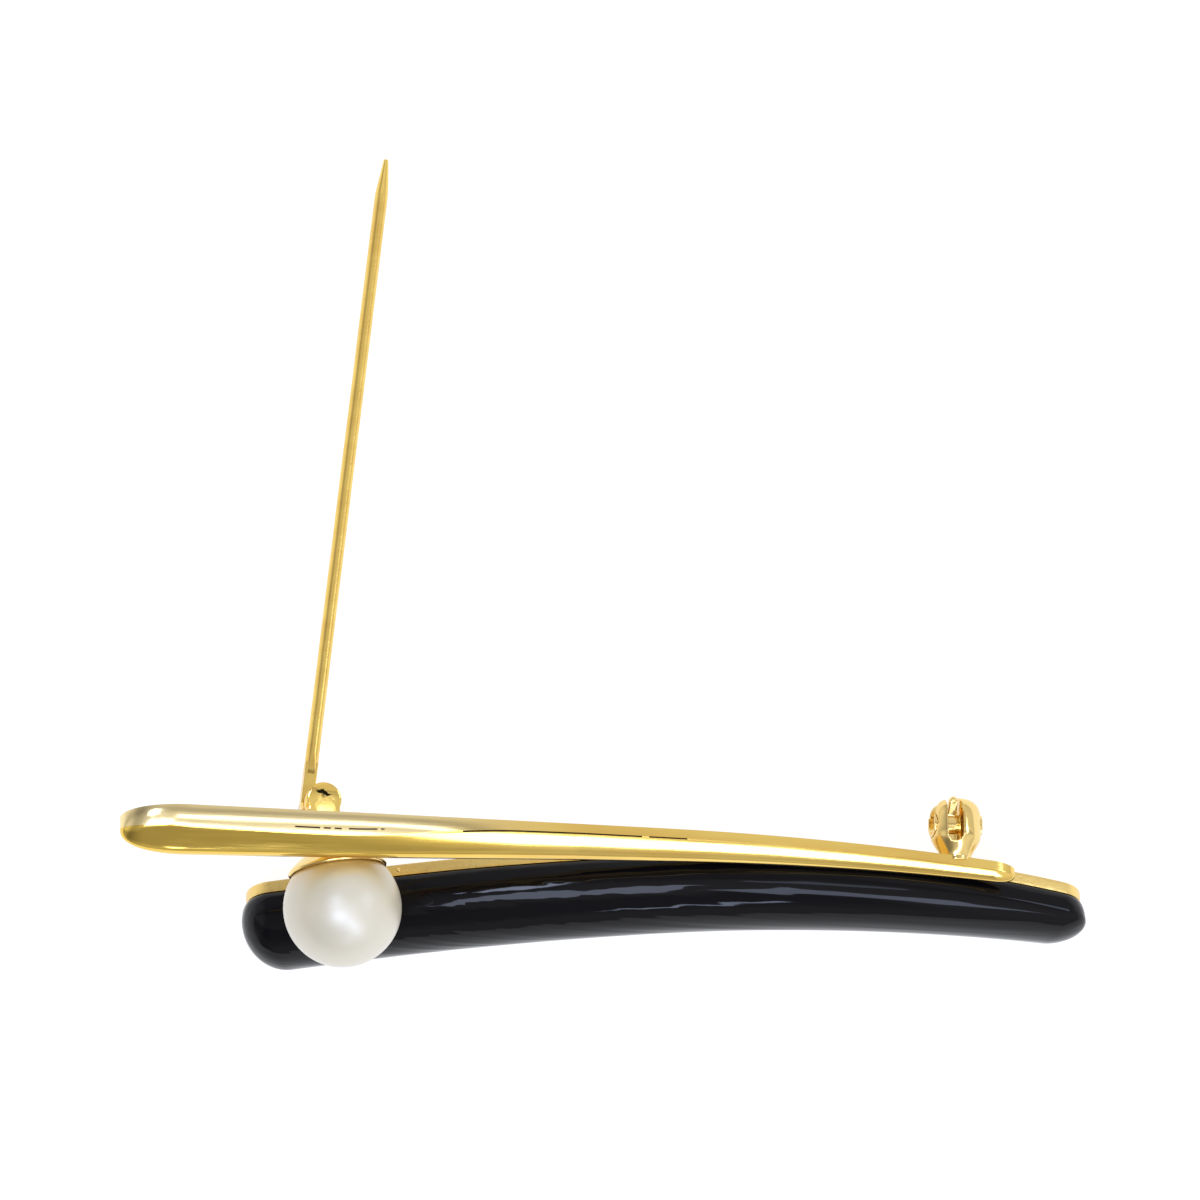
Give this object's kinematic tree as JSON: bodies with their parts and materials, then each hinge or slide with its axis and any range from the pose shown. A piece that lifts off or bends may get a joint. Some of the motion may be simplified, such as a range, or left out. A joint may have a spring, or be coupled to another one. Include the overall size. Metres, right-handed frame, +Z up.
{
  "type": "bar brooch",
  "caption": "V-shaped bar brooch: tapered gold bar, curved polished onyx on a gold back plate, cupped pearl between them, hinged pin and safety catch.",
  "frame": {"origin": "centre of the box around the brooch as it lies, on the surface under it", "axes": "+X along the longest extent toward the catch end, +Y the way the open pin points, +Z up from the surface"},
  "size_m": [0.0698, 0.0596, 0.0229],
  "materials": {
    "gold": "yellow gold, polished front and fine satin side wall",
    "onyx": "high polish",
    "pearl": "pearl lustre",
    "findings": "drawn and filed gold"
  },
  "bodies": {
    "brooch": {"gold_frame": "gold", "onyx_bar": "onyx", "pearl": "pearl", "hinge_rivet": "findings"},
    "pin": {"pin_stem": "findings"},
    "safety_catch": {"catch_rotor": "findings"}
  },
  "joints": [
    {"name": "pin_hinge", "type": "hinge", "parent": "brooch", "child": "pin", "pos_m": [-0.02108, -0.01647, 0.01779], "axis": [-0.2049, -0.3444, -0.9162], "range_deg": [-25, 83.3]},
    {"name": "catch_turn", "type": "hinge", "parent": "brooch", "child": "safety_catch", "pos_m": [0.02464, -0.01585, 0.00733], "axis": [0.9759, 0, -0.2183], "range_deg": [0, 84]}
  ]
}
